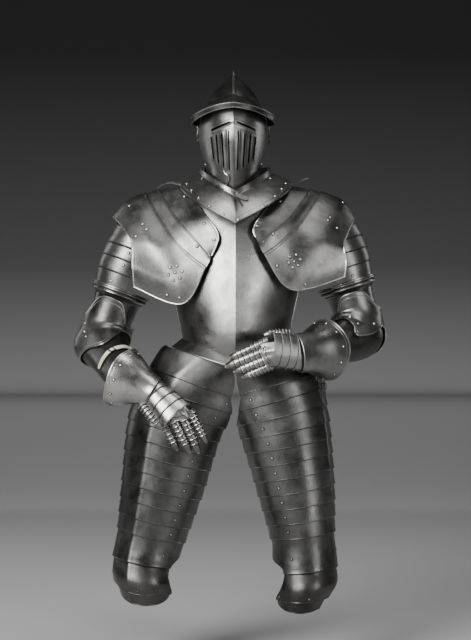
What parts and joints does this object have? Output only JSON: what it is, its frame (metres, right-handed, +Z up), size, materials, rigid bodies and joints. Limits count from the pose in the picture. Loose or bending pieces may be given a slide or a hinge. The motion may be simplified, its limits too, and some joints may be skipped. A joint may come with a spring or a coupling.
{
  "type": "suit of plate armour, three-quarter",
  "caption": "Three-quarter suit of steel plate armour of about 1620, worn pose: close helmet, gorget, cuirass, pauldrons, arms, gauntlets, long laminated tassets and poleyns.",
  "frame": {"origin": "where the wearer holds it: the base of the neck, midway between the shoulders", "axes": "+Z up, the front faces -Y, the wearer's left is +X"},
  "size_m": [0.777, 0.4295, 1.338],
  "materials": {
    "steel": "polished dark steel with worn, patchy tone",
    "bright_steel": "bright polished steel"
  },
  "bodies": {
    "suit": {"helmet_skull": "steel", "helmet_bevor": "steel", "helmet_hook": "bright_steel", "gorget_front": "steel", "gorget_back": "steel", "breastplate": "steel", "backplate": "steel", "right_pauldron_neck_lame": "steel", "right_pauldron_upper_lame": "steel", "right_pauldron_main": "steel", "right_upper_arm_lames": "steel", "right_upper_cannon": "steel", "right_couter": "steel", "right_lower_cannon": "steel", "right_gauntlet_cuff": "bright_steel", "right_gauntlet_hand": "bright_steel", "right_gauntlet_fingers": "bright_steel", "right_gauntlet_thumb": "bright_steel", "left_pauldron_neck_lame": "steel", "left_pauldron_upper_lame": "steel", "left_pauldron_main": "steel", "left_upper_arm_lames": "steel", "left_upper_cannon": "steel", "left_couter": "steel", "left_lower_cannon": "steel", "left_gauntlet_cuff": "bright_steel", "left_gauntlet_hand": "bright_steel", "left_gauntlet_fingers": "bright_steel", "left_gauntlet_thumb": "bright_steel", "right_tasset_lame_1": "steel", "right_tasset_lame_2": "steel", "right_tasset_lame_3": "steel", "right_tasset_lame_4": "steel", "right_tasset_lame_5": "steel", "right_tasset_lame_6": "steel", "right_tasset_lame_7": "steel", "right_tasset_lame_8": "steel", "right_tasset_lame_9": "steel", "right_tasset_lame_10": "steel", "right_tasset_lame_11": "steel", "right_tasset_lame_12": "steel", "left_tasset_lame_1": "steel", "left_tasset_lame_2": "steel", "left_tasset_lame_3": "steel", "left_tasset_lame_4": "steel", "left_tasset_lame_5": "steel", "left_tasset_lame_6": "steel", "left_tasset_lame_7": "steel", "left_tasset_lame_8": "steel", "left_tasset_lame_9": "steel", "left_tasset_lame_10": "steel", "left_tasset_lame_11": "steel", "left_tasset_lame_12": "steel", "right_poleyn": "steel", "right_poleyn_foot": "steel", "left_poleyn": "steel", "left_poleyn_foot": "steel"},
    "visor": {"helmet_visor": "steel"},
    "peak": {"helmet_peak": "steel"}
  },
  "joints": [
    {"name": "visor_pivot", "type": "hinge", "parent": "suit", "child": "visor", "pos_m": [-0.005, 0.005, 0.15], "axis": [-1, 0, 0], "range_deg": [0, 28]},
    {"name": "peak_pivot", "type": "hinge", "parent": "visor", "child": "peak", "pos_m": [-0.005, 0.005, 0.15], "axis": [-1, 0, 0], "range_deg": [0, 8]}
  ]
}
